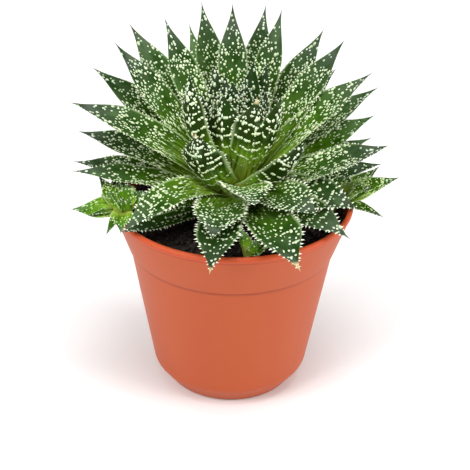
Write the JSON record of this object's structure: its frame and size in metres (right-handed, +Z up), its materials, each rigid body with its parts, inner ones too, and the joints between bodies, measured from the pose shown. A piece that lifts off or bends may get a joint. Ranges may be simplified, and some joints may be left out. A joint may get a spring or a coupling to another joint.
{
  "type": "potted aloe",
  "caption": "Lace aloe rosette with toothed, white-dotted leaves and small offsets, growing in soil in a plain tapered plastic nursery pot.",
  "frame": {"origin": "centre of the pot's flat base, on the surface that it stands on", "axes": "+Z up along the pot's axis; -Y is the front, the side that the rosette leans towards"},
  "size_m": [0.1626, 0.1591, 0.183],
  "materials": {
    "terracotta_plastic": "satin",
    "potting_soil": "matte",
    "aloe_leaf": "satin",
    "young_leaf": "satin"
  },
  "bodies": {
    "root": {"pot": "terracotta_plastic", "soil": "potting_soil", "rosette": "aloe_leaf", "pup_left": "young_leaf", "pup_right": "young_leaf", "pup_front": "young_leaf"}
  },
  "joints": []
}
